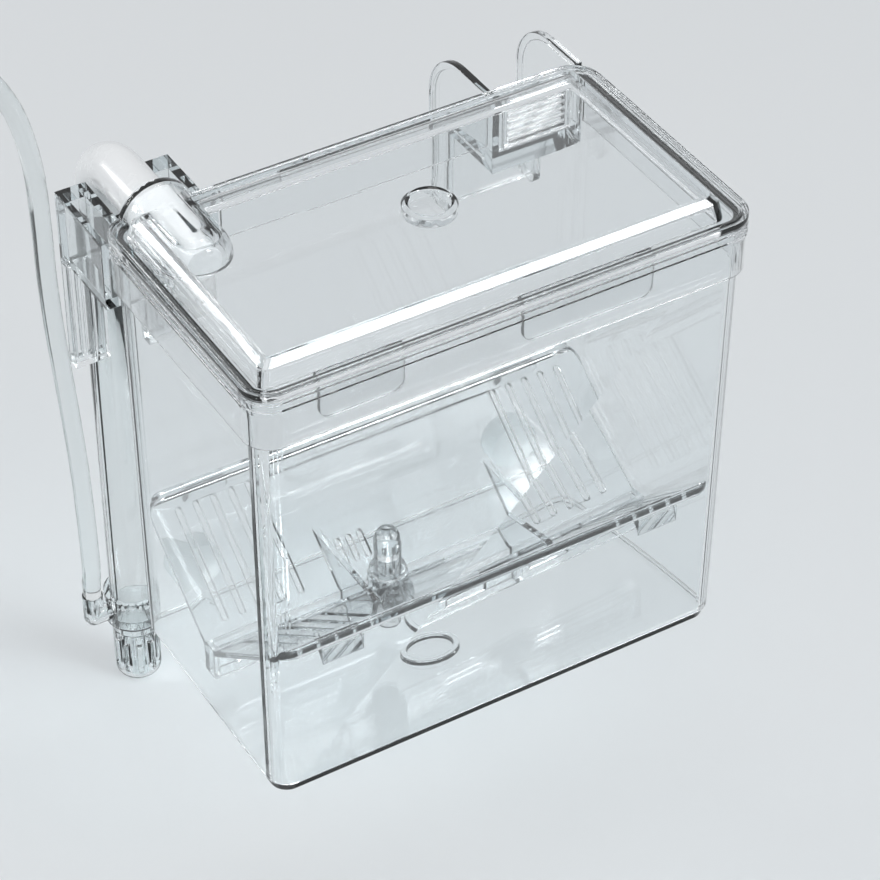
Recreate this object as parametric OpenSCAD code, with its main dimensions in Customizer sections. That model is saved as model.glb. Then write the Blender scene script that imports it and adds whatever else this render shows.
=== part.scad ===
// Breeding box that hangs outside an aquarium, with an air-driven uplift, in millimetres.
// The origin lies on the aquarium's rim: mid-length of the box, in the gap between the tank
// and the hook's leg, at the height of the seats. +Z is up, the tank lies towards -Y and the
// aquarium's water towards +Y.

/* [Box] */
// Length of the lid's rim
rim_l = 144; // [134:1:170]
// Depth of the lid's rim from front to rear
rim_d = 82; // [76:1:100]
// Height from the tank's underside to the top of the rim
box_h = 137; // [125:1:160]
// Thickness of the tank's walls
tank_t = 2; // [1.6:0.1:2.6]
// Thickness of the tank's floor
floor_t = 2.3; // [1.8:0.1:3.5]
// How far the front and side walls draw in from rim to floor
draft = 1.3; // [0.6:0.1:2.4]
// Radius of the rim's corners
corner_r = 8; // [6:0.5:11]
// Height of the step round the foot of the tank
foot_h = 3; // [1.5:0.5:5]
// How far the foot of the tank is set in
foot_in = 1.2; // [0.6:0.1:2]
// Length of the dip in the top of the rear wall
dip_l = 44.5; // [20:0.5:56]
// Depth of the dip in the rear wall
dip_h = 3; // [1:0.5:6]
// Radius of the boss on the tank's floor
boss_r = 7.8; // [5:0.2:10]
// Radius of the soft pads behind the tank
pad_r = 7.5; // [6:0.5:10]
// Thickness of the soft pads
pad_t = 7.5; // [5:0.5:10]
// Distance of each pad from the tank's middle
pad_x = 50; // [30:1:54]
// Height of the pads' centres above the tank's underside
pad_rise = 14; // [12:1:60]

/* [Lid] */
// Thickness of the lid's rim plate
lid_t = 2.5; // [2:0.1:3.5]
// Height of the lid's skirt
skirt_h = 17; // [10:0.5:24]
// Thickness of the skirt
skirt_t = 1.4; // [1:0.1:2]
// Clearance of the lid round the tank
lid_gap = 0.5; // [0.3:0.1:0.9]
// Height of the raised plateau above the rim
plateau_h = 6; // [4:0.5:9]
// Thickness of the plateau's shell
plateau_t = 1.8; // [1.2:0.1:2.4]
// Slope of the plateau's walls, foot to bevel
plateau_draft = 0.8; // [0.4:0.1:2]
// Width of the bevel along the plateau's top edge
plateau_bevel = 1.7; // [0.8:0.1:2.5]
// Radius of the plateau's corners
plateau_r = 2.6; // [2.4:0.1:5]
// Width of the flat rim at the right end
band_right = 8; // [6:0.5:12]
// Width of the flat rim at the front and at the left end
band_front = 4; // [3:0.5:6]
// Width of the flat rim at the rear
band_rear = 7; // [5:0.5:10]
// Height of the beads on the rim
bead_h = 0.6; // [0.3:0.1:1]
// Depth of the grooves round the lid's edge
groove_t = 0.5; // [0.3:0.1:0.7]
// Width of the grooves
groove_w = 0.9; // [0.6:0.1:1.4]
// Distance from groove to groove
groove_step = 2.2; // [1.8:0.1:3]
// Radius of the round recess in the lid's centre
dimple_r = 5.3; // [4:0.1:7]
// Depth of the recess
dimple_h = 2.6; // [1.5:0.1:3.6]
// Wall of the hood over the elbow
hood_t = 1.9; // [1.2:0.1:2.4]
// How far the locating tabs hang below the lid's rim plate
tab_h = 12.5; // [8:0.5:16]

/* [Hook and spout] */
// Distance of the lid's rim in front of the origin
rim_set = 9; // [7:0.5:12]
// Gap between the lid's rim and the hook's leg, where the aquarium's rim sits
clasp_gap = 20.5; // [17:0.5:27]
// Depth of the seats below the top of the rim
seat_drop = 26; // [22:0.5:32]
// Width of the hook over both arms
hook_w = 32.5; // [30:0.5:38]
// Thickness of the hook's plates
hook_t = 2.2; // [1.8:0.1:3]
// Depth of the hook's top below the top of the rim
hook_drop = 5.5; // [4:0.5:8]
// Width of each leg
leg_w = 10; // [8:0.5:12]
// Thickness of the hook's legs
leg_t = 4.5; // [3.6:0.1:5]
// How far the legs reach below the seats
leg_drop = 34.5; // [20:0.5:45]
// Thickness of the ribs between the pockets of a leg
rib_t = 1.2; // [0.8:0.1:1.6]
// Width of the spout over its cheeks
spout_w = 30; // [25:0.5:35]
// Thickness of the spout's cheeks
cheek_t = 2.2; // [1.8:0.1:3]
// How far the spout reaches past the leg line
spout_reach = 9.5; // [8:0.5:14]
// Depth of the cheeks' top edge below the top of the rim
cheek_drop = 1.5; // [1:0.5:4]
// Radius of the cheeks' rounded rear corner
spout_r = 15.5; // [10:0.5:17]
// How far the spout's lip reaches below the seats
spout_drop = 28; // [16:1:40]
// Height of the outlet's sill above the seats
sill_h = 7.5; // [6:0.5:10]
// Number of bars in the outlet grille
grille_bars = 6; // [4:1:8]
// Thickness of each grille bar
bar_t = 1; // [0.7:0.1:1.3]

/* [Fry tray] */
// Height of the fry zone between the floor and the keel
fry_zone_h = 11.3; // [7:0.1:16]
// Height of the keel channel
keel_h = 8.4; // [6:0.2:12]
// Rise of the sloping panels above the keel channel
panel_rise = 24; // [16:0.5:30]
// Thickness of the tray's panels
panel_t = 1.6; // [1.2:0.1:2]
// Clearance of the tray in the tank
tray_gap = 0.5; // [0.3:0.1:1]
// Width of the flat ledge along each knee
knee_w = 2.2; // [1.8:0.1:3]
// Height of the upright edge along each knee
knee_h = 3; // [2:0.5:5]
// Width of the open keel between its walls
keel_gap = 2.6; // [1.6:0.1:4]
// Thickness of the keel's walls
keel_t = 1.4; // [1:0.1:1.8]
// Slots in each group
slot_count = 5; // [3:1:6]
// Distance from slot to slot
slot_pitch = 5.25; // [4:0.25:5.5]
// Width of each slot
slot_w = 1.6; // [1:0.1:2]
// Distance of the innermost slot of a group from the tray's middle
slot_start = 37.5; // [34:0.5:38]
// Distance of each web from the tray's middle
web_x = 27; // [22:0.5:30]
// Drop of the webs' top edge below the knees
web_drop = 11; // [6:0.5:14]
// Thickness of the webs
web_t = 1.8; // [1.2:0.1:2.4]
// Radius of the keel plug's shaft
plug_r = 3.45; // [2.5:0.05:4]
// Radial play of the plug in its bore
plug_play = 0.05; // [0.03:0.01:0.09]
// Distance of the plug from the tray's middle
plug_x = 14; // [8:0.5:16]

/* [Uplift] */
// Outside diameter of the uplift tube and the elbow
tube_d = 13.4; // [11:0.1:14]
// Wall of the uplift tube
tube_t = 1.2; // [0.9:0.1:1.6]
// Distance of the uplift's axis behind the hook's seat line
tube_y = 24; // [23:0.5:30]
// Length of the uplift tube
tube_l = 150; // [110:1:190]
// Radius of the elbow's bend
bend_r = 14; // [10:0.5:15]
// Depth of the elbow's axis below the top of the rim
limb_drop = 2.5; // [1.5:0.5:5]
// Length of the elbow's pouring limb in front of the tank's rear face
limb_l = 20.1; // [17:0.1:26]
// Radius of the elbow's nose and outlet
nose_r = 4.8; // [4:0.1:5.4]
// Length of the outlet below the elbow's axis
outlet_l = 15; // [8:0.5:18]
// Length of the limb's taper towards the nose
taper_l = 8; // [5:0.5:12]
// Clearance round the elbow in the hood and the hook
elbow_gap = 0.8; // [0.4:0.1:1.2]
// Length of the intake strainer below the tube
strainer_l = 18; // [14:1:26]
// Number of slots round the strainer
strainer_slots = 10; // [6:2:12]
// Height of the air collar above the tube's lower end
collar_rise = 9; // [4:0.5:30]

/* [Airline and valve] */
// Outside diameter of the airline
hose_d = 5.3; // [4.5:0.1:5.6]
// Straight end of the airline between the coil and the valve
coil_tail = 20; // [18:1:30]
// Radius of the valve's barrel
valve_r = 4.6; // [4:0.1:5.5]
// Length of the valve's barrel
valve_l = 24; // [20:1:32]
// Radius of the valve's knob
knob_r = 6; // [5:0.1:8]
// Height of the valve's knob
knob_h = 7; // [5:0.5:10]
// Radius of the free spigot that the pump's hose goes on
spigot_r = 2.25; // [1.8:0.05:2.5]
// Length of the free spigot
spigot_l = 9; // [6:0.5:12]

/* [Hidden] */
$fn = 48;
eps = 0.01;
// Levels and faces that the pieces share
rim_z = seat_drop;
tank_top_z = rim_z - lid_t;
floor_z = rim_z - box_h;
floor_top_z = floor_z + floor_t;
rim_rear_y = -rim_set;
mid_y = rim_rear_y - rim_d/2;
tank_in = skirt_t + lid_gap;
tank_l = rim_l - 2*tank_in;
tank_d = rim_d - 2*tank_in;
tank_front_y = rim_rear_y - rim_d + tank_in;
tank_rear_y = rim_rear_y - tank_in;
tank_r = corner_r - tank_in;
function drawn_in(z) = draft*(tank_top_z - z)/(tank_top_z - floor_z);
leg_y = rim_rear_y + clasp_gap;
hook_top_z = rim_z - hook_drop;
// Elbow and the openings it passes
tube_r = tube_d/2;
bore_r = tube_r - tube_t;
pass_r = tube_r + elbow_gap;
arm_w = (hook_w - 2*pass_r)/2;
elbow_x = -rim_l/2 + hook_w/2;
limb_z = rim_z - limb_drop;
nose_y = tank_rear_y - limb_l;
hood_r = pass_r + hood_t;
tube_top_z = limb_z - bend_r - 4;
tube_foot_z = tube_top_z - tube_l;
ground_z = tube_foot_z - strainer_l;
// Spout and grille
spout_x1 = rim_l/2;
spout_x0 = spout_x1 - spout_w;
grille_x0 = spout_x0 + cheek_t + 0.8;
grille_x1 = tank_l/2 - tank_r + 1.5;
// Tray
keel_z = floor_top_z + fry_zone_h;
channel_z = keel_z + keel_h;
knee_z = channel_z + panel_rise;
tray_half_d = rim_d/2 - tank_in - tank_t - drawn_in(knee_z) - tray_gap;
tray_half_l = tank_l/2 - tank_t - drawn_in(keel_z) - tray_gap;
keel_half = keel_gap/2 + keel_t;
slope_run = tray_half_d - knee_w - keel_half;
slope = atan2(panel_rise, slope_run);
panel_v = panel_t/cos(slope);
plug_bore_r = plug_r + plug_play;
plug_boss_r = plug_bore_r + 2;
flange_r = plug_r + 1.6;
// The boss ends where the plug's flange clears the sloping panels
plug_boss_h = keel_h + panel_v + (flange_r + 0.6 - keel_half)*tan(slope);
ledge_x = 48;
ledge_w = 12;
window_places = [-54, -36, 10, 36, 54];
window_w = 12;
// Ends of the two locating tabs under the lid's front edge
tab_spans = [[-53, -29.5], [4, 42]];
tab_t = 1.5;
// Points of the airline, chosen by hand: up from the foot, over in an arch, down and to the coil
airline_start = [elbow_x - tube_r - 6, tube_y, tube_foot_z + collar_rise + 8];
airline_rise = [
    [-68, 24, -118], [-68.2, 23.8, -104], [-69, 23, -84], [-70.5, 21.8, -64], [-72.5, 20, -44],
    [-74.8, 17.6, -24], [-76.6, 15, -4], [-77.6, 13, 16], [-79, 11.6, 34], [-83, 10.4, 52],
    [-91, 9, 67], [-103, 7, 78], [-118, 5, 82], [-133, 3, 78], [-145, 1, 67],
    [-152, -1, 51], [-155, -2, 32], [-156, -2, 8], [-156, -2, -20], [-156, -2, -50],
    [-156, -2, -80], [-156, -2.5, -104], [-156, -4.5, -124], [-156, -10, -141], [-156, -19, -153],
    [-156, -31, -159.6]
];
// Coil of stored airline, on the ground beside the arch
coil_gap = 0.6;
coil_pitch = hose_d + coil_gap;
coil_turns = 5;
coil_r = 36;
coil_c = [-192, -46];
coil_lift = 1;
coil_z = ground_z + coil_lift + hose_d/2;
tie_t = 0.8;
tie_w = 6;

// Rectangle with round corners, centred in X, from y0 to y1
module round_rect(x0, x1, y0, y1, r) {
    translate([x0 + r, y0]) square([x1 - x0 - 2*r, y1 - y0]);
    translate([x0, y0 + r]) square([x1 - x0, y1 - y0 - 2*r]);
    for (x = [x0 + r, x1 - r], y = [y0 + r, y1 - r])
        translate([x, y]) circle(r = r);
}

// Block whose front and side walls lean in by lean from z1 down to z0
module leaning_block(half_l, y0, y1, z0, z1, lean, r) {
    hull() {
        translate([0, 0, z1 - eps]) linear_extrude(eps)
            round_rect(-half_l, half_l, y0, y1, r, $fn = 32);
        translate([0, 0, z0]) linear_extrude(eps)
            round_rect(-half_l + lean, half_l - lean, y0 + lean, y1, r, $fn = 32);
    }
}

module tank() {
    color("aliceblue", 0.5) {
        difference() {
            union() {
                leaning_block(tank_l/2, tank_front_y, tank_rear_y, floor_z + foot_h, tank_top_z,
                    drawn_in(floor_z + foot_h), tank_r);
                translate([0, 0, floor_z]) linear_extrude(foot_h + 1)
                    round_rect(-tank_l/2 + draft + foot_in, tank_l/2 - draft - foot_in,
                        tank_front_y + draft + foot_in, tank_rear_y - foot_in, tank_r - foot_in);
            }
            leaning_block(tank_l/2 - tank_t, tank_front_y + tank_t, tank_rear_y - tank_t,
                floor_top_z, tank_top_z + 1, drawn_in(floor_top_z), tank_r - tank_t);
            // Dip in the rear wall
            translate([-dip_l/2, tank_rear_y - 2*tank_t, tank_top_z - dip_h])
                cube([dip_l, 3*tank_t, dip_h + 1]);
            // Outlet behind the grille
            translate([grille_x0, tank_rear_y - 2*tank_t, sill_h])
                cube([grille_x1 - grille_x0, 3*tank_t, rim_z]);
            // Notch that the elbow lies in
            translate([elbow_x, tank_rear_y + 1, limb_z]) rotate([90, 0, 0])
                cylinder(r = pass_r, h = 3*tank_t);
            translate([elbow_x - pass_r, tank_rear_y - 2*tank_t, limb_z])
                cube([2*pass_r, 3*tank_t, rim_z]);
        }
        tray_ledges();
        // Boss ring on the floor
        translate([0, mid_y, floor_top_z - eps]) difference() {
            cylinder(r = boss_r, h = 1.6);
            translate([0, 0, 0.2]) cylinder(r = boss_r - 1.6, h = 2);
        }
    }
}

// Four short ledges under the knees of the tray
module tray_ledges() {
    ledge_in = tray_half_d - knee_w;
    wall_in = rim_d/2 - tank_in - tank_t;
    for (x = [-ledge_x, ledge_x], side = [-1, 1])
        translate([x - ledge_w/2, mid_y, knee_z]) mirror([0, side < 0 ? 1 : 0, 0])
            rotate([90, 0, 90]) linear_extrude(ledge_w)
                polygon([[ledge_in, 0], [wall_in + tank_t/2, 0], [wall_in + tank_t/2, -5],
                    [wall_in - 1, -5], [ledge_in, -1.5]]);
}

module hook_bracket() {
    x0 = -rim_l/2;
    x1 = x0 + hook_w;
    saddle_z = limb_z - pass_r - 1;
    pocket_w = (leg_w - 4*rib_t)/3;
    color("aliceblue", 0.5) {
        difference() {
            union() {
                for (x = [x0, x1 - arm_w]) {
                    // Top plate, seat plate, two side plates and the head of the leg of one arm
                    translate([x, tank_rear_y, hook_top_z - hook_t])
                        cube([arm_w, leg_y - tank_rear_y + 1, hook_t]);
                    translate([x, tank_rear_y, 0]) cube([arm_w, leg_y - tank_rear_y + 1, hook_t]);
                    for (px = [x, x + arm_w - hook_t])
                        translate([px, tank_rear_y, 0])
                            cube([hook_t, leg_y - tank_rear_y + 1, hook_top_z]);
                    translate([x, leg_y, 0]) cube([arm_w, leg_t, hook_top_z]);
                }
                for (x = [x0, x1 - leg_w])
                    translate([x, leg_y, -leg_drop]) cube([leg_w, leg_t, leg_drop + saddle_z]);
                // Back plate against the tank joins both arms
                translate([x0, tank_rear_y, 0]) cube([hook_w, hook_t, saddle_z]);
            }
            // Pockets down the rear of the legs, closed at the foot
            for (x = [x0, x1 - leg_w], k = [0:2])
                translate([x + rib_t + k*(pocket_w + rib_t), leg_y + hook_t, hook_t - leg_drop])
                    cube([pocket_w, leg_t, leg_drop - 2*hook_t]);
        }
    }
}

// Side outline of a spout cheek, drawn in by inset, with Y to the right and Z up
module cheek_outline(inset) {
    y_end = leg_y + spout_reach - inset;
    top = rim_z - cheek_drop - inset;
    r = spout_r - inset;
    bottom = -spout_drop + inset;
    translate([tank_rear_y, inset]) square([y_end - r - tank_rear_y, top - inset]);
    translate([tank_rear_y, inset]) square([y_end - tank_rear_y, top - inset - r]);
    translate([y_end - r, top - r]) intersection() {
        circle(r = r);
        square(r);
    }
    translate([leg_y + inset, bottom + 3]) square([y_end - leg_y - inset, top - r - bottom - 3]);
    translate([leg_y + inset + 3, bottom]) square([y_end - leg_y - inset - 6, 4]);
    for (y = [leg_y + inset + 3, y_end - 3])
        translate([y, bottom + 3]) circle(r = 3);
}

module return_spout() {
    lid_room = tank_top_z - 0.6;
    color("aliceblue", 0.5) {
        difference() {
            union() {
                for (x = [spout_x0, spout_x1 - cheek_t]) {
                    translate([x, 0, 0]) rotate([90, 0, 90]) linear_extrude(cheek_t)
                        cheek_outline(0);
                }
                // Sloping floor of the spout and its lip down into the aquarium
                translate([spout_x0, 0, 0]) rotate([90, 0, 90]) linear_extrude(spout_w)
                    polygon([[tank_rear_y, 0], [leg_y, 0], [leg_y, -spout_drop + 4],
                        [leg_y + hook_t, -spout_drop + 4], [leg_y + hook_t, 1.5], [leg_y, 2.6],
                        [tank_rear_y, sill_h - 1]]);
            }
            // Shallow recess in each cheek leaves a bead round its edge
            for (x = [spout_x0 - 1, spout_x1 - 0.7])
                translate([x, 0, 0]) rotate([90, 0, 90]) linear_extrude(1.7)
                    intersection() {
                        cheek_outline(2.2);
                        translate([rim_rear_y + 2, -spout_drop])
                            square([clasp_gap + spout_reach, spout_drop + rim_z]);
                    }
            // Room for the lid's rear edge
            translate([spout_x0 - 1, tank_rear_y - 1, lid_room])
                cube([spout_w + 2, rim_rear_y + lid_gap - tank_rear_y + 1, lid_t + 1]);
        }
    }
}

module outlet_grille() {
    frame_t = 1.4;
    w = grille_x1 - grille_x0;
    h = tank_top_z - sill_h;
    pitch = (h - frame_t)/(grille_bars + 1);
    color("aliceblue", 0.5) translate([grille_x0, tank_rear_y - tank_t, sill_h]) {
        cube([frame_t, tank_t, h]);
        translate([w - frame_t, 0, 0]) cube([frame_t, tank_t, h]);
        cube([w, tank_t, frame_t]);
        translate([0, 0, h - frame_t]) cube([w, tank_t, frame_t]);
        for (k = [1:grille_bars])
            translate([0, 0.3, k*pitch + (frame_t - bar_t)/2]) cube([w, tank_t - 0.6, bar_t]);
    }
}

// Raised part of the lid with its bevelled top edge, drawn in by inset
module plateau_block(inset, top) {
    x0 = -rim_l/2 + band_front + inset;
    x1 = rim_l/2 - band_right - inset;
    y0 = rim_rear_y - rim_d + band_front + inset;
    y1 = rim_rear_y - band_rear - inset;
    d = plateau_draft;
    b = d + plateau_bevel;
    r = plateau_r - inset;
    hull() {
        translate([0, 0, tank_top_z - inset]) linear_extrude(lid_t)
            round_rect(x0, x1, y0, y1, r, $fn = 32);
        translate([0, 0, top - plateau_bevel]) linear_extrude(eps)
            round_rect(x0 + d, x1 - d, y0 + d, y1 - d, r, $fn = 32);
        translate([0, 0, top - eps]) linear_extrude(eps)
            round_rect(x0 + b, x1 - b, y0 + b, y1 - b, r, $fn = 32);
    }
}

// Space of radius r round the elbow's limb, with a round front end
module hood_space(r, rear_y) {
    translate([elbow_x, rear_y, limb_z]) rotate([90, 0, 0]) cylinder(r = r, h = rear_y - nose_y);
    translate([elbow_x, nose_y, limb_z]) sphere(r = r);
}

// Arch of clear plastic over the elbow, with a bead round its open rear end
module hood_outside() {
    intersection() {
        union() {
            hood_space(hood_r, rim_rear_y);
            translate([elbow_x, rim_rear_y, limb_z]) rotate([90, 0, 0])
                cylinder(r = hood_r + 0.9, h = 2);
        }
        translate([elbow_x - 2*hood_r, nose_y - 2*hood_r, tank_top_z])
            cube([4*hood_r, limb_l + 3*hood_r, 2*hood_r]);
    }
}

// Way for the elbow under the hood and down through the lid
module elbow_passage() {
    hood_space(pass_r, rim_rear_y + 1);
    translate([elbow_x - pass_r, nose_y, limb_z - hood_r])
        cube([2*pass_r, rim_rear_y + 1 - nose_y, hood_r]);
    translate([elbow_x, nose_y, limb_z - hood_r]) cylinder(r = pass_r, h = hood_r);
}

// Ring that cuts the outside of the skirt back by cut, from z0 up to z1
module skirt_ring(cut, z0, z1) {
    x = rim_l/2;
    y0 = rim_rear_y - rim_d;
    translate([0, 0, z0]) linear_extrude(z1 - z0) difference() {
        round_rect(-x - 1, x + 1, y0 - 1, rim_rear_y + 1, corner_r);
        round_rect(-x + cut, x - cut, y0 + cut, rim_rear_y - cut, corner_r - cut);
    }
}

module lid() {
    x0 = -rim_l/2;
    x1 = rim_l/2;
    y0 = rim_rear_y - rim_d;
    y1 = rim_rear_y;
    top = rim_z + plateau_h;
    floor_under = dimple_h + plateau_t;
    color("azure", 0.5) {
        difference() {
            union() {
                // Rim plate and the beads along its edge
                translate([0, 0, tank_top_z]) linear_extrude(lid_t - bead_h)
                    round_rect(x0, x1, y0, y1, corner_r);
                for (b = [0, 1.6])
                    translate([0, 0, tank_top_z]) linear_extrude(lid_t)
                        difference() {
                            round_rect(x0 + b, x1 - b, y0 + b, y1 - b, corner_r - b);
                            round_rect(x0 + b + 0.9, x1 - b - 0.9, y0 + b + 0.9, y1 - b - 0.9,
                                corner_r - b - 0.9);
                        }
                // Skirt
                translate([0, 0, rim_z - skirt_h]) linear_extrude(skirt_h - bead_h)
                    difference() {
                        round_rect(x0, x1, y0, y1, corner_r);
                        round_rect(x0 + skirt_t, x1 - skirt_t, y0 + skirt_t, y1 - skirt_t,
                            corner_r - skirt_t);
                    }
                plateau_block(0, top);
                hood_outside();
            }
            // Hollow under the plateau, round the hood and the recess
            difference() {
                plateau_block(plateau_t, top - plateau_t);
                hood_space(hood_r, rim_rear_y);
                translate([0, mid_y, top - floor_under])
                    cylinder(r = dimple_r + plateau_t, h = floor_under);
            }
            // Round recess in the centre of the top, with a bevelled edge
            translate([0, mid_y, top - dimple_h]) cylinder(r = dimple_r, h = dimple_h + 1);
            translate([0, mid_y, top - 0.8]) cylinder(r1 = dimple_r, r2 = dimple_r + 1, h = 1);
            elbow_passage();
            // Grooves round the edge, and the lower skirt set in a little
            for (k = [1, 2])
                skirt_ring(groove_t, rim_z - k*groove_step - groove_w, rim_z - k*groove_step);
            skirt_ring(groove_t - 0.1, rim_z - skirt_h - 1, rim_z - 3*groove_step);
            // Rear skirt and corners give way to the hook and the spout
            translate([x0 - 1, tank_rear_y - 3, rim_z - skirt_h - 1])
                cube([hook_w + 2, 10, skirt_h + 1 - lid_t]);
            translate([spout_x0 - 1, tank_rear_y - 3, rim_z - skirt_h - 1])
                cube([spout_w + 3, 10, skirt_h + 1 - lid_t]);
        }
        locating_tabs();
    }
}

// Tabs that hang inside the front wall and keep the lid from sliding
module locating_tabs() {
    y = tank_front_y + tank_t + lid_gap;
    top = rim_z + 1;
    for (span = tab_spans)
        translate([0, y + tab_t, 0]) rotate([90, 0, 0]) linear_extrude(tab_t) {
            translate([span[0], tank_top_z - tab_h + 3])
                square([span[1] - span[0], top - tank_top_z + tab_h - 3]);
            translate([span[0] + 3, tank_top_z - tab_h]) square([span[1] - span[0] - 6, 4]);
            for (x = [span[0] + 3, span[1] - 3])
                translate([x, tank_top_z - tab_h + 3]) circle(r = 3);
        }
}

// Half section of the tray: knee, sloping panel and keel wall, with Y to the right
module tray_half_section() {
    inner = tray_half_d - knee_w;
    polygon([[tray_half_d, knee_z], [tray_half_d, knee_z + knee_h],
        [tray_half_d - panel_t, knee_z + knee_h], [tray_half_d - panel_t, knee_z + panel_t],
        [inner, knee_z + panel_v], [keel_half, channel_z + panel_v],
        [keel_half - keel_t, channel_z + panel_v], [keel_half - keel_t, keel_z],
        [keel_half, keel_z],
        [keel_half, channel_z], [inner, knee_z]]);
}

// One slot through a sloping panel at x, from s0 to s1 measured from the keel
module panel_slot(x, s0, s1) {
    s = (s0 + s1)/2;
    z = channel_z + (s - keel_half)*tan(slope);
    l = (s1 - s0)/cos(slope) - slot_w;
    translate([x, s, z]) rotate([slope, 0, 0]) {
        cube([slot_w, l, 4*panel_t], center = true);
        for (end = [-l/2, l/2])
            translate([0, end, 0]) cylinder(r = slot_w/2, h = 4*panel_t, center = true, $fn = 16);
    }
}

module fry_tray() {
    color("azure", 0.5) translate([0, mid_y, 0]) {
        difference() {
            union() {
                intersection() {
                    for (side = [0, 1]) mirror([0, side, 0])
                        translate([-tray_half_l, 0, 0]) rotate([90, 0, 90])
                            linear_extrude(2*tray_half_l) tray_half_section();
                    // Corners rounded like the tank's inside
                    translate([0, 0, keel_z - 1]) linear_extrude(knee_z - keel_z + knee_h + 2)
                        round_rect(-tray_half_l, tray_half_l, -tray_half_d, tray_half_d, tank_r);
                }
                tray_webs();
                translate([-plug_x, 0, keel_z]) cylinder(r = plug_boss_r, h = plug_boss_h);
            }
            for (side = [0, 1]) mirror([0, side, 0]) {
                for (end = [-1, 1], k = [0:slot_count - 1])
                    panel_slot(end*(slot_start + k*slot_pitch), keel_half + 3, tray_half_d - knee_w - 2);
                // Windows along the keel's walls
                for (x = window_places)
                    translate([x - window_w/2, 0, keel_z + keel_h/2 - 1.2])
                        cube([window_w, keel_half + 1, 2.6]);
            }
            // Short slots beside the plug, in the rear panel
            for (k = [0:2]) panel_slot(-plug_x - 8.5 + k*3.5, keel_half + 5, keel_half + 11);
            translate([-plug_x, 0, keel_z - 1]) cylinder(r = plug_bore_r, h = plug_boss_h + 2);
        }
    }
}

// Two webs that tie the halves of the V, and a tie at each end of the keel
module tray_webs() {
    top = knee_z - web_drop;
    half = tray_half_d - knee_w - web_drop/tan(slope);
    for (x = [-web_x, web_x])
        translate([x - web_t/2, 0, 0]) rotate([90, 0, 90]) linear_extrude(web_t)
            polygon([[-half, top], [half, top], [keel_half, channel_z], [keel_half, keel_z],
                [-keel_half, keel_z], [-keel_half, channel_z]]);
    for (x = [-tray_half_l, tray_half_l - web_t])
        translate([x, -keel_half, keel_z]) cube([web_t, 2*keel_half, keel_h + panel_v]);
}

module keel_plug() {
    foot = keel_z - 5.6;
    flange_z = keel_z + plug_boss_h;
    head_h = 12;
    shaft_l = flange_z - foot + head_h;
    color("azure", 0.5) translate([-plug_x, mid_y, foot]) difference() {
        union() {
            rotate_extrude() {
                square([plug_r, shaft_l]);
                translate([0, shaft_l - eps]) intersection() {
                    circle(r = plug_r);
                    square(plug_r);
                }
            }
            translate([0, 0, flange_z - foot]) cylinder(r = flange_r, h = 1.5);
            for (a = [0:45:315]) rotate(a)
                translate([plug_r - 0.2, 0, flange_z - foot + 1])
                    cylinder(r = 0.6, h = head_h - 2, $fn = 16);
        }
        translate([0, 0, -1]) cylinder(r = plug_r - 1.4, h = flange_z - foot + 6);
    }
}

// Straight pipe along +Z
module pipe(r, wall, h) {
    difference() {
        cylinder(r = r, h = h);
        translate([0, 0, -1]) cylinder(r = r - wall, h = h + 2);
    }
}

module elbow() {
    bend_z = limb_z - bend_r;
    wall = tube_r - bore_r + 1.3;
    limb_end = nose_y + taper_l;
    color("white") translate([elbow_x, 0, 0]) {
        // Spigot in the uplift tube, socket shoulder, bend and pouring limb
        translate([0, tube_y, tube_top_z - 8]) pipe(bore_r - 0.05, 1.25, 8);
        translate([0, tube_y, tube_top_z]) pipe(tube_r, wall, bend_z - tube_top_z);
        translate([0, tube_y - bend_r, bend_z]) rotate([90, 0, 90])
            rotate_extrude(angle = 90) translate([bend_r, 0]) difference() {
                circle(r = tube_r);
                circle(r = tube_r - wall);
            }
        translate([0, tube_y - bend_r, limb_z]) rotate([90, 0, 0])
            pipe(tube_r, wall, tube_y - bend_r - limb_end);
        elbow_nose(limb_end);
    }
}

// Tapered end of the limb, closed by a flat disc, with the outlet that pours down
module elbow_nose(limb_end) {
    difference() {
        union() {
            translate([0, limb_end, limb_z]) rotate([90, 0, 0])
                cylinder(r1 = tube_r, r2 = nose_r, h = taper_l);
            translate([0, nose_y + 0.5, limb_z]) rotate([90, 0, 0])
                cylinder(r = nose_r, h = nose_r + 0.5);
            translate([0, nose_y, limb_z - outlet_l]) cylinder(r = nose_r - 0.1, h = outlet_l);
        }
        translate([0, limb_end + 1, limb_z]) rotate([90, 0, 0])
            cylinder(r = nose_r - 1.5, h = taper_l + 3);
        translate([0, nose_y, limb_z - outlet_l - 1])
            cylinder(r = nose_r - 1.3, h = outlet_l + 1);
    }
}

module uplift_tube() {
    color("aliceblue", 0.5) translate([elbow_x, tube_y, tube_foot_z]) difference() {
        cylinder(r = tube_r, h = tube_l);
        translate([0, 0, -1]) cylinder(r = bore_r, h = tube_l + 2);
        // Air port under the collar
        translate([0, 0, collar_rise]) rotate([0, -90, 0]) cylinder(r = 1.2, h = tube_r + 1);
    }
}

module intake_strainer() {
    r = tube_r;
    color("aliceblue", 0.6) translate([elbow_x, tube_y, ground_z]) difference() {
        union() {
            translate([0, 0, 3]) cylinder(r = r, h = strainer_l - 3);
            cylinder(r = r - 3, h = 4);
            translate([0, 0, 3]) rotate_extrude() translate([r - 3, 0]) circle(r = 3);
            translate([0, 0, strainer_l - 1]) cylinder(r = bore_r - 0.05, h = 7);
        }
        translate([0, 0, 2.2]) cylinder(r = bore_r - 1.3, h = strainer_l + 10);
        for (k = [0:strainer_slots/2 - 1]) rotate(k*360/strainer_slots)
            translate([-r - 1, -0.7, 4]) cube([2*r + 2, 1.4, strainer_l - 8]);
    }
}

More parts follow.
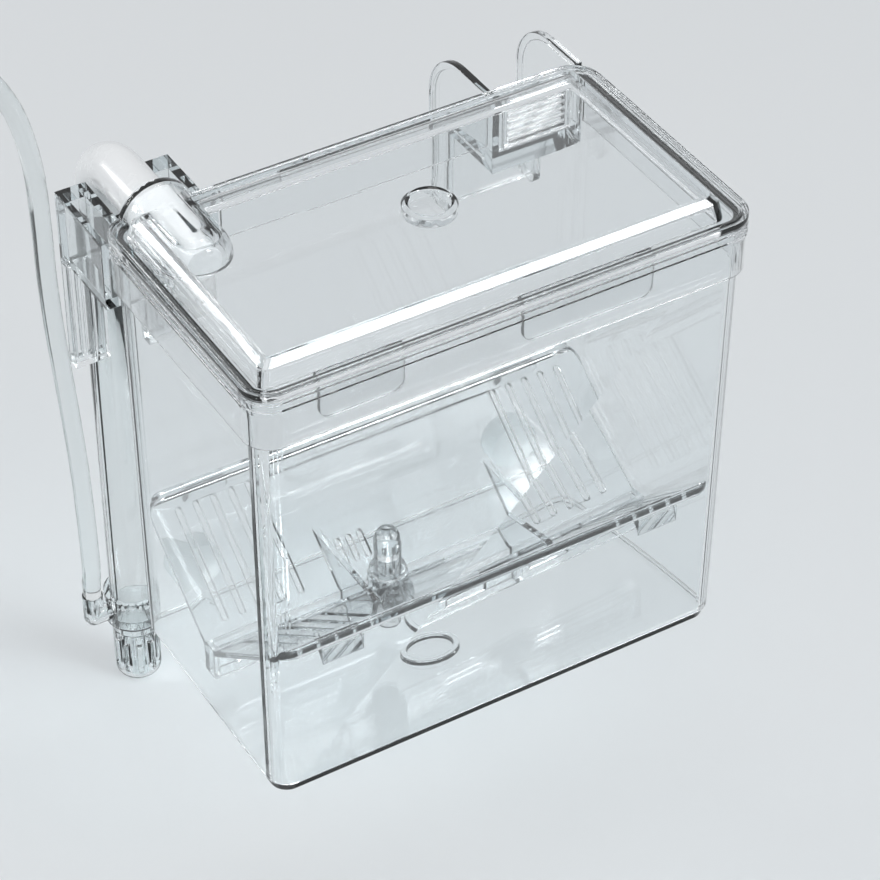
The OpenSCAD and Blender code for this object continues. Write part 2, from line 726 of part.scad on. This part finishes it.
module air_collar() {
    port_x = -(tube_r + 6);
    h = 10;
    color("aliceblue", 0.6) translate([elbow_x, tube_y, tube_foot_z + collar_rise]) difference() {
        union() {
            translate([0, 0, -h/2]) cylinder(r = tube_r + 1.8, h = h);
            rotate([0, -90, 0]) cylinder(r = 3, h = tube_r + 6);
            translate([port_x, 0, 0]) sphere(r = 3);
            translate([port_x, 0, 0]) cylinder(r = 3, h = 8);
        }
        translate([0, 0, -h]) cylinder(r = tube_r + 0.05, h = 2*h);
        rotate([0, -90, 0]) cylinder(r = 1.2, h = tube_r + 6);
        translate([port_x, 0, 0]) cylinder(r = 1.2, h = 9);
    }
}

// Point on a smooth curve through p, at step i and fraction u
function curve_point(p, i, u) =
    let (a = p[max(i - 1, 0)], b = p[i], c = p[i + 1], d = p[min(i + 2, len(p) - 1)])
    0.5*(2*b + (c - a)*u + (2*a - 5*b + 4*c - d)*u*u + (3*b - a - 3*c + d)*u*u*u);
function smooth_path(p, n) = concat(
    [for (i = [0:len(p) - 2], k = [0:n - 1]) curve_point(p, i, k/n)], [p[len(p) - 1]]);
function unit(v) = v/norm(v);
function heading(p, i) = unit(p[min(i + 1, len(p) - 1)] - p[max(i - 1, 0)]);
// Frames carried along the path without twist: side vector at each ring
function sides_along(p, i, s) = i >= len(p) ? [] :
    let (t = heading(p, i), q = unit(s - t*(s*t)))
    concat([q], sides_along(p, i + 1, q));

// Closed tube along the path, of radius r and n sides
module swept_tube(p, r, n, first_side) {
    s = sides_along(p, 0, first_side);
    rings = [for (i = [0:len(p) - 1], k = [0:n - 1])
        let (t = heading(p, i), a = 360*k/n) p[i] + r*(cos(a)*s[i] + sin(a)*cross(t, s[i]))];
    last = (len(p) - 1)*n;
    walls = [for (i = [0:len(p) - 2], k = [0:n - 1])
        let (a = i*n + k, b = i*n + (k + 1) % n) each [[a, a + n, b], [b, a + n, b + n]]];
    caps = [for (k = [1:n - 2]) each [[0, k, k + 1], [last, last + k + 1, last + k]]];
    polyhedron(points = rings, faces = concat(walls, caps), convexity = 10);
}

// Coil: spirals in on the lower layer and out on the upper one, climbing where it turns back
coil_steps = 24*coil_turns;
function coil_climb(k) =
    let (half = coil_steps/2, u = (k - half)/12 + 0.5)
    u <= 0 ? 0 : u >= 1 ? 1 : (1 - cos(180*u))/2;
function coil_point(k) =
    let (half = coil_steps/2, turned = (half - abs(k - half))/24, a = -15*k,
        r = coil_r - coil_pitch*turned)
    [coil_c[0] + r*cos(a), coil_c[1] + r*sin(a), coil_z + coil_climb(k)*coil_pitch];
coil_first = coil_point(0) + [0, hose_d, 0];
coil_last = coil_point(coil_steps) - [0, coil_tail, 0];
coil_path = concat([coil_first], [for (k = [0:coil_steps]) coil_point(k)], [coil_last]);
// Least clear distance between one turn and another
coil_clear = min([for (i = [0:4:len(coil_path) - 1], j = [0:len(coil_path) - 1])
    if (abs(i - j) > 12) norm(coil_path[i] - coil_path[j])]) - hose_d;
echo(coil_clear = coil_clear);

airline_path = concat([airline_start],
    smooth_path(concat([airline_start + [0, 0, 5]], airline_rise,
        [coil_first + [0, hose_d, 0]]), 2), [coil_first]);
function run_length(p) = [for (i = [0:len(p) - 2]) norm(p[i + 1] - p[i])] * [for (i = [0:len(p) - 2]) 1];
echo(airline_length = run_length(airline_path), coil_length = run_length(coil_path));

module airline() {
    color("whitesmoke", 0.6) swept_tube(airline_path, hose_d/2, 8, [1, 0, 0]);
}

module airline_coil() {
    color("whitesmoke", 0.6) swept_tube(coil_path, hose_d/2, 6, [0, 0, 1]);
}

// Flat band round all the turns on the coil's far side
module coil_tie() {
    r0 = coil_r - coil_pitch*coil_turns/2 - hose_d/2 - 0.6;
    r1 = coil_r + hose_d/2 + 0.4;
    h = coil_lift + coil_pitch + hose_d + 0.4;
    color("dimgray") translate([coil_c[0], coil_c[1], ground_z]) difference() {
        translate([-r1 - tie_t, -tie_w/2, 0]) cube([r1 - r0 + 2*tie_t, tie_w, h + tie_t]);
        translate([-r1, -tie_w, coil_lift - 0.2]) cube([r1 - r0, 2*tie_w, h - coil_lift + 0.2]);
    }
}

// Valve: stands on its foot with its barrel at the height of the coil's upper layer
valve_z = coil_z + coil_pitch;
valve_start = coil_last;
turret_h = 6;
module valve_body() {
    color("white") translate([valve_start[0], valve_start[1], valve_z]) difference() {
        union() {
            rotate([90, 0, 0]) cylinder(r = hose_d/2 + 0.9, h = 4);
            translate([0, -3, 0]) rotate([90, 0, 0]) cylinder(r = valve_r, h = valve_l);
            translate([0, -3 - valve_l, 0]) rotate([90, 0, 0]) cylinder(r = spigot_r, h = spigot_l);
            translate([0, -3 - valve_l/2, 0]) cylinder(r = valve_r - 0.2, h = valve_r + turret_h);
            translate([-6, -3 - valve_l/2 - 7, ground_z - valve_z]) cube([12, 14, 2]);
            translate([-1.5, -3 - valve_l/2 - 7, ground_z - valve_z])
                cube([3, 14, valve_z - ground_z]);
        }
        rotate([90, 0, 0]) translate([0, 0, 2]) cylinder(r = 1.2, h = valve_l + spigot_l + 4);
        translate([0, -3 - valve_l/2, valve_r]) cylinder(r = 2, h = turret_h + 1);
    }
}

module valve_knob() {
    top = valve_r + turret_h;
    color("black") translate([valve_start[0], valve_start[1] - 3 - valve_l/2, valve_z]) {
        translate([0, 0, top + 0.3]) difference() {
            cylinder(r = knob_r, h = knob_h);
            for (a = [0:30:330]) rotate(a)
                translate([knob_r + 0.5, 0, -1]) cylinder(r = 1.1, h = knob_h + 2, $fn = 16);
        }
        translate([0, 0, valve_r + 0.6]) cylinder(r = 1.95, h = turret_h);
    }
}

// Two soft pads low on the rear wall rest against the aquarium's glass
module spacer_pads() {
    edge = 1.5;
    color("dimgray") for (x = [-pad_x, pad_x])
        translate([x, tank_rear_y, floor_z + pad_rise]) rotate([-90, 0, 0])
            rotate_extrude() {
                square([pad_r, pad_t - edge]);
                square([pad_r - edge, pad_t]);
                translate([pad_r - edge, pad_t - edge]) circle(r = edge);
            }
}

tank();
hook_bracket();
return_spout();
outlet_grille();
lid();
fry_tray();
keel_plug();
elbow();
uplift_tube();
intake_strainer();
air_collar();
airline();
airline_coil();
coil_tie();
valve_body();
valve_knob();
spacer_pads();
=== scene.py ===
import bpy
import math
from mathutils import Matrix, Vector


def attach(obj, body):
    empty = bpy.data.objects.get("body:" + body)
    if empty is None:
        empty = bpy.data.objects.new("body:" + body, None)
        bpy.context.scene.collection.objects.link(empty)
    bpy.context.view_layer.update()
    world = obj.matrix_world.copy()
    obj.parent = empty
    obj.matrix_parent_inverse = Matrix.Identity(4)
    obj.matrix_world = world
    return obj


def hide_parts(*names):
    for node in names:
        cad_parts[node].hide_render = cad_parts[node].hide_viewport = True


# Hang-on breeding box with its uplift, airline and air valve.
# Metres, +Z up. The origin lies in the gap of the hook, with the tank towards -Y.

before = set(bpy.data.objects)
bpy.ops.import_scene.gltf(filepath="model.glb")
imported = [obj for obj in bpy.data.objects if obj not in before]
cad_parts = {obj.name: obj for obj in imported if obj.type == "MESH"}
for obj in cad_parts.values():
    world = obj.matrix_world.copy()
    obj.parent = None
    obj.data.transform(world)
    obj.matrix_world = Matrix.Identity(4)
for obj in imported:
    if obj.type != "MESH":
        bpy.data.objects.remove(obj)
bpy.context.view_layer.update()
print("frame loaded:", len(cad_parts), "nodes")


def deselectAll():
    if bpy.context.mode != "OBJECT":
        bpy.ops.object.mode_set(mode="OBJECT")
    bpy.ops.object.select_all(action="DESELECT")


def newMaterial(name):
    material = bpy.data.materials.new(name)
    material.use_nodes = True
    nodes = material.node_tree.nodes
    nodes.clear()
    return material, nodes, material.node_tree.links


mould = {
    "waveDetail": 1.5, "waveRise": 0.001, "scuffDetail": 4.0, "scuffFrom": 0.42, "scuffTo": 0.75,
}


def mouldedRipple(nodes, links, body, look):
    # Faint waves that a moulded wall has, and the fine scuffs of handling
    place = nodes.new("ShaderNodeTexCoord")
    wave = nodes.new("ShaderNodeTexNoise")
    wave.inputs["Scale"].default_value = look["waveScale"]
    wave.inputs["Detail"].default_value = mould["waveDetail"]
    lift = nodes.new("ShaderNodeBump")
    lift.inputs["Strength"].default_value = look["wave"]
    lift.inputs["Distance"].default_value = mould["waveRise"]
    scuff = nodes.new("ShaderNodeTexNoise")
    scuff.inputs["Scale"].default_value = look["scuffScale"]
    scuff.inputs["Detail"].default_value = mould["scuffDetail"]
    rough = nodes.new("ShaderNodeMapRange")
    rough.inputs["From Min"].default_value = mould["scuffFrom"]
    rough.inputs["From Max"].default_value = mould["scuffTo"]
    rough.inputs["To Min"].default_value = look["roughness"]
    rough.inputs["To Max"].default_value = look["roughness"] + look["scuff"]
    links.new(place.outputs["Object"], wave.inputs["Vector"])
    links.new(place.outputs["Object"], scuff.inputs["Vector"])
    links.new(wave.outputs["Fac"], lift.inputs["Height"])
    links.new(lift.outputs["Normal"], body.inputs["Normal"])
    links.new(scuff.outputs["Fac"], rough.inputs["Value"])
    links.new(rough.outputs["Result"], body.inputs["Roughness"])


def clearWall(name, look):
    # Clear moulded wall: bends light, tints with its depth and lets the lamps' light through
    material, nodes, links = newMaterial(name)
    output = nodes.new("ShaderNodeOutputMaterial")
    body = nodes.new("ShaderNodeBsdfPrincipled")
    body.inputs["Base Color"].default_value = look["tint"]
    body.inputs["IOR"].default_value = look["ior"]
    body.inputs["Transmission Weight"].default_value = 1.0
    mouldedRipple(nodes, links, body, look)
    lampWay = nodes.new("ShaderNodeBsdfTransparent")
    lampWay.inputs["Color"].default_value = look["shadowTint"]
    path = nodes.new("ShaderNodeLightPath")
    either = nodes.new("ShaderNodeMixShader")
    links.new(path.outputs["Is Shadow Ray"], either.inputs[0])
    links.new(body.outputs[0], either.inputs[1])
    links.new(lampWay.outputs[0], either.inputs[2])
    links.new(either.outputs[0], output.inputs["Surface"])
    depth = nodes.new("ShaderNodeVolumeAbsorption")
    depth.inputs["Color"].default_value = look["depthTint"]
    depth.inputs["Density"].default_value = look["depth"]
    links.new(depth.outputs[0], output.inputs["Volume"])
    return material


def solidPart(name, look):
    # Opaque moulding: two near shades in slow patches, a fine grain and a thin gloss
    material, nodes, links = newMaterial(name)
    output = nodes.new("ShaderNodeOutputMaterial")
    body = nodes.new("ShaderNodeBsdfPrincipled")
    body.inputs["Coat Weight"].default_value = look["coat"]
    body.inputs["Coat Roughness"].default_value = look["coatRoughness"]
    mouldedRipple(nodes, links, body, look)
    place = nodes.new("ShaderNodeTexCoord")
    patch = nodes.new("ShaderNodeTexNoise")
    patch.inputs["Scale"].default_value = look["patchScale"]
    shade = nodes.new("ShaderNodeMix")
    shade.data_type = "RGBA"
    shade.inputs["A"].default_value = look["colour"]
    shade.inputs["B"].default_value = look["shade"]
    links.new(place.outputs["Object"], patch.inputs["Vector"])
    links.new(patch.outputs["Fac"], shade.inputs["Factor"])
    links.new(shade.outputs["Result"], body.inputs["Base Color"])
    links.new(body.outputs[0], output.inputs["Surface"])
    return material


finish = {
    "weldGap": 0.000002, "flatAngle": math.radians(0.02), "airGap": 0.00002,
    "edgeSteps": 2, "edgeAngle": math.radians(32),
}


def dressNode(name, material, edge):
    # The piece keeps its shape and gets its finish and soft edges that catch the light
    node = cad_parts[name]
    if not node.material_slots:
        node.data.materials.append(material)
    for slot in node.material_slots:
        slot.material = material
    weld = node.modifiers.new("weld", "WELD")
    weld.merge_threshold = finish["weldGap"]
    flat = node.modifiers.new("flat", "DECIMATE")
    flat.decimate_type = "DISSOLVE"
    flat.angle_limit = finish["flatAngle"]
    # A hair of air between clear pieces that touch, so that both faces show
    hair = node.modifiers.new("hair", "DISPLACE")
    hair.mid_level = 0.0
    hair.strength = -finish["airGap"]
    soft = node.modifiers.new("soft", "BEVEL")
    soft.width = edge
    soft.segments = finish["edgeSteps"]
    soft.limit_method = "ANGLE"
    soft.angle_limit = finish["edgeAngle"]
    soft.use_clamp_overlap = False
    soft.harden_normals = True


# Tank, hook, spout and grille: one clear box

boxLook = {
    "tint": (0.955, 0.967, 0.97, 1), "depthTint": (0.66, 0.77, 0.8, 1), "depth": 18.0,
    "shadowTint": (0.94, 0.955, 0.96, 1), "ior": 1.52, "roughness": 0.008,
    "wave": 0.05, "waveScale": 24.0, "scuff": 0.05, "scuffScale": 220.0,
    "wallEdge": 0.0002, "hookEdge": 0.0002, "grilleEdge": 0.0001,
}
boxWall = clearWall("boxWall", boxLook)
dressNode("tank", boxWall, boxLook["wallEdge"])
dressNode("hook_bracket", boxWall, boxLook["hookEdge"])
dressNode("return_spout", boxWall, boxLook["hookEdge"])
dressNode("outlet_grille", boxWall, boxLook["grilleEdge"])
print("box dressed")

# Lid

lidLook = dict(
    boxLook, wave=0.03, tint=(0.962, 0.968, 0.972, 1), depth=16.0, edge=0.00018,
)
dressNode("lid", clearWall("lidWall", lidLook), lidLook["edge"])
print("lid dressed")

# Fry tray and the plug in its keel

trayLook = dict(
    boxLook, wave=0.04, tint=(0.945, 0.965, 0.972, 1), depth=16.0,
    edge=0.0002, plugEdge=0.0001,
)
trayWall = clearWall("trayWall", trayLook)
dressNode("fry_tray", trayWall, trayLook["edge"])
dressNode("keel_plug", trayWall, trayLook["plugEdge"])
print("fry tray dressed")

# White elbow

elbowLook = {
    "colour": (0.83, 0.84, 0.845, 1), "shade": (0.78, 0.79, 0.8, 1), "patchScale": 30.0,
    "coat": 0.4, "coatRoughness": 0.05, "roughness": 0.2, "wave": 0.06, "waveScale": 60.0,
    "scuff": 0.14, "scuffScale": 380.0, "edge": 0.00018,
}
dressNode("elbow", solidPart("elbowWhite", elbowLook), elbowLook["edge"])

# Uplift tube, strainer and air collar

tubeLook = dict(
    boxLook, wave=0.02, tint=(0.945, 0.965, 0.967, 1), depth=18.0, edge=0.00009,
)
tubeWall = clearWall("tubeWall", tubeLook)
for name in ("uplift_tube", "intake_strainer", "air_collar"):
    dressNode(name, tubeWall, tubeLook["edge"])
print("uplift dressed")

# Frosted soft pads behind the tank

padLook = dict(
    boxLook, tint=(0.94, 0.955, 0.955, 1), depth=16.0, roughness=0.6, ior=1.35, edge=0.0001,
)
dressNode("spacer_pads", clearWall("padVinyl", padLook), padLook["edge"])

# Air valve with its knob, and the tie round the stored coil

valveLook = dict(
    elbowLook, colour=(0.8, 0.81, 0.81, 1), shade=(0.74, 0.75, 0.76, 1),
    roughness=0.28, edge=0.00012,
)
knobLook = dict(
    elbowLook, colour=(0.03, 0.031, 0.034, 1), shade=(0.022, 0.023, 0.025, 1),
    coat=0.05, roughness=0.36, wave=0.3, waveScale=900.0, edge=0.0001,
)
tieLook = dict(knobLook, roughness=0.55, coat=0.0, edge=0.00015)
dressNode("valve_body", solidPart("valveWhite", valveLook), valveLook["edge"])
dressNode("valve_knob", solidPart("knobBlack", knobLook), knobLook["edge"])
dressNode("coil_tie", solidPart("tieBlack", tieLook), tieLook["edge"])
print("valve and tie dressed")

# Airline: one hose from the air collar up, over and down to the stored coil and the valve

hose = {
    "outside": 0.0053, "coilRadius": 0.036, "coilGap": 0.0006, "turns": 5, "tail": 0.020,
    "start": (-0.06845, 0.024, -0.1275), "lead": 0.005, "coilCentre": (-0.192, -0.046),
    "coilLow": -0.15885, "stepsPerTurn": 24, "cutsPerSpan": 4, "roundness": 5,
}
hoseLook = dict(
    boxLook, tint=(0.93, 0.95, 0.95, 1), depthTint=(0.72, 0.83, 0.83, 1), depth=20.0, ior=1.45,
    roughness=0.07, wave=0.12, waveScale=70.0, scuff=0.12, scuffScale=300.0,
)
# Points in millimetres: up from the uplift's foot, over in an arch and down to the coil
hoseRoute = [
    (-68, 24, -118), (-68.2, 23.8, -104), (-69, 23, -84), (-70.5, 21.8, -64), (-72.5, 20, -44),
    (-74.8, 17.6, -24), (-76.6, 15, -4), (-77.6, 13, 16), (-79, 11.6, 34), (-83, 10.4, 52),
    (-91, 9, 67), (-103, 7, 78), (-118, 5, 82), (-133, 3, 78), (-145, 1, 67),
    (-152, -1, 51), (-155, -2, 32), (-156, -2, 8), (-156, -2, -20), (-156, -2, -50),
    (-156, -2, -80), (-156, -2.5, -104), (-156, -4.5, -124), (-156, -10, -141), (-156, -19, -153),
    (-156, -31, -159.6),
]


def coilPoint(k, steps):
    # Spirals in on the lower layer and out on the upper one
    half = steps / 2
    perTurn = hose["stepsPerTurn"]
    pitch = hose["outside"] + hose["coilGap"]
    turned = (half - abs(k - half)) / perTurn
    angle = math.radians(-360 * k / perTurn)
    radius = hose["coilRadius"] - pitch * turned
    # Half a turn in the middle lifts the hose onto the upper layer
    u = min(max(2 * (k - half) / perTurn + 0.5, 0), 1)
    climb = (1 - math.cos(math.pi * u)) / 2
    return Vector((
        hose["coilCentre"][0] + radius * math.cos(angle),
        hose["coilCentre"][1] + radius * math.sin(angle),
        hose["coilLow"] + climb * pitch,
    ))


def smoothRoute(points, cuts):
    # Smooth curve through all of the points
    route = []
    last = len(points) - 1
    for i in range(last):
        a, b = points[max(i - 1, 0)], points[i]
        c, d = points[i + 1], points[min(i + 2, last)]
        for k in range(cuts):
            u = k / cuts
            bend = (2 * a - 5 * b + 4 * c - d) * u * u
            twist = (3 * b - a - 3 * c + d) * u * u * u
            route.append(0.5 * (2 * b + (c - a) * u + bend + twist))
    return route + [points[last]]


def hoseCentreLine():
    steps = hose["stepsPerTurn"] * hose["turns"]
    coil = [coilPoint(k, steps) for k in range(steps + 1)]
    along = Vector((0, hose["outside"], 0))
    start = Vector(hose["start"])
    coilFirst = coil[0] + along
    coilLast = coil[-1] - Vector((0, hose["tail"], 0))
    middle = [start + Vector((0, 0, hose["lead"]))]
    middle += [Vector(p) / 1000 for p in hoseRoute] + [coilFirst + along]
    middle = smoothRoute(middle, hose["cutsPerSpan"])
    return [start] + middle + [coilFirst] + coil + [coilLast]


def makeHose(line):
    deselectAll()
    curve = bpy.data.curves.new("airHose", "CURVE")
    curve.dimensions = "3D"
    curve.bevel_depth = hose["outside"] / 2
    curve.bevel_resolution = hose["roundness"]
    curve.use_fill_caps = True
    spline = curve.splines.new("POLY")
    spline.points.add(len(line) - 1)
    for point, place in zip(spline.points, line):
        point.co = (*place, 1)
    spline.use_smooth = True
    piece = bpy.data.objects.new("airHose", curve)
    bpy.context.collection.objects.link(piece)
    curve.materials.append(clearWall("hoseVinyl", hoseLook))
    return piece


hoseLine = hoseCentreLine()
airHose = makeHose(hoseLine)
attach(airHose, "uplift")
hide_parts("airline", "airline_coil")

# Floor, light and camera

studio = {
    "floorZ": -0.1626, "floorSize": 40.0, "floorColour": (0.72, 0.738, 0.75, 1),
    "skyLight": (0.9, 0.92, 0.94, 1), "skyStrength": 0.6,
    "backdrop": (0.74, 0.755, 0.77, 1), "aim": (0, -0.05, -0.03),
    "lamps": {
        "frontBox": {"place": (0.6, -1.0, 0.98), "size": 0.42, "watts": 6.0},
        "sideBox": {"place": (-0.98, 0.94, 0.6), "size": 0.42, "watts": 4.2},
    },
    "topLight": {"place": (-0.8, -0.6, 1.3), "spread": 40, "strength": 0.7},
}
photoView = {
    "place": (-0.336, -0.615, 0.511), "aim": (0.006, -0.045, -0.052),
    "lens": 134, "sensor": 36, "nearest": 0.01, "farthest": 20,
}


def layFloor():
    deselectAll()
    place = (0, 0, studio["floorZ"])
    bpy.ops.mesh.primitive_plane_add(size=studio["floorSize"], location=place)
    floor = bpy.context.object
    floor.name = "studioFloor"
    material, nodes, links = newMaterial("floorPaint")
    output = nodes.new("ShaderNodeOutputMaterial")
    paint = nodes.new("ShaderNodeBsdfDiffuse")
    paint.inputs["Color"].default_value = studio["floorColour"]
    links.new(paint.outputs[0], output.inputs["Surface"])
    floor.data.materials.append(material)


def lightWorld():
    # Soft sky light on the object; a plain pale backdrop where a ray sees the world
    world = bpy.data.worlds.new("studioWorld")
    bpy.context.scene.world = world
    world.use_nodes = True
    nodes, links = world.node_tree.nodes, world.node_tree.links
    nodes.clear()
    output = nodes.new("ShaderNodeOutputWorld")
    sky = nodes.new("ShaderNodeBackground")
    sky.inputs["Color"].default_value = studio["skyLight"]
    sky.inputs["Strength"].default_value = studio["skyStrength"]
    seen = nodes.new("ShaderNodeBackground")
    seen.inputs["Color"].default_value = studio["backdrop"]
    path = nodes.new("ShaderNodeLightPath")
    mix = nodes.new("ShaderNodeMixShader")
    factor = path.outputs["Is Camera Ray"]
    for other in ("Is Transmission Ray", "Is Glossy Ray"):
        either = nodes.new("ShaderNodeMath")
        either.operation = "MAXIMUM"
        links.new(factor, either.inputs[0])
        links.new(path.outputs[other], either.inputs[1])
        factor = either.outputs[0]
    links.new(factor, mix.inputs[0])
    links.new(sky.outputs[0], mix.inputs[1])
    links.new(seen.outputs[0], mix.inputs[2])
    links.new(mix.outputs[0], output.inputs["Surface"])


def turnTowards(thing, aim):
    towards = Vector(aim) - thing.location
    thing.rotation_euler = towards.to_track_quat("-Z", "Y").to_euler()


def hangLamp(name, lampLook):
    deselectAll()
    bpy.ops.object.light_add(type="AREA", location=lampLook["place"])
    lamp = bpy.context.object
    lamp.name = name
    lamp.data.shape = "SQUARE"
    lamp.data.size = lampLook["size"]
    lamp.data.energy = lampLook["watts"]
    turnTowards(lamp, studio["aim"])


def hangTopLight(lampLook):
    # Wide even light from above, which keeps the far floor as pale as the near one
    deselectAll()
    bpy.ops.object.light_add(type="SUN", location=lampLook["place"])
    lamp = bpy.context.object
    lamp.name = "topLight"
    lamp.data.angle = math.radians(lampLook["spread"])
    lamp.data.energy = lampLook["strength"]
    turnTowards(lamp, studio["aim"])


def setCamera():
    deselectAll()
    bpy.ops.object.camera_add(location=photoView["place"])
    camera = bpy.context.object
    camera.name = "photoCamera"
    camera.data.lens = photoView["lens"]
    camera.data.sensor_width = photoView["sensor"]
    camera.data.clip_start = photoView["nearest"]
    camera.data.clip_end = photoView["farthest"]
    turnTowards(camera, photoView["aim"])
    bpy.context.scene.camera = camera


layFloor()
lightWorld()
for name, lampLook in studio["lamps"].items():
    hangLamp(name, lampLook)
hangTopLight(studio["topLight"])
setCamera()
bpy.context.scene.view_settings.view_transform = "Standard"
print("studio set")
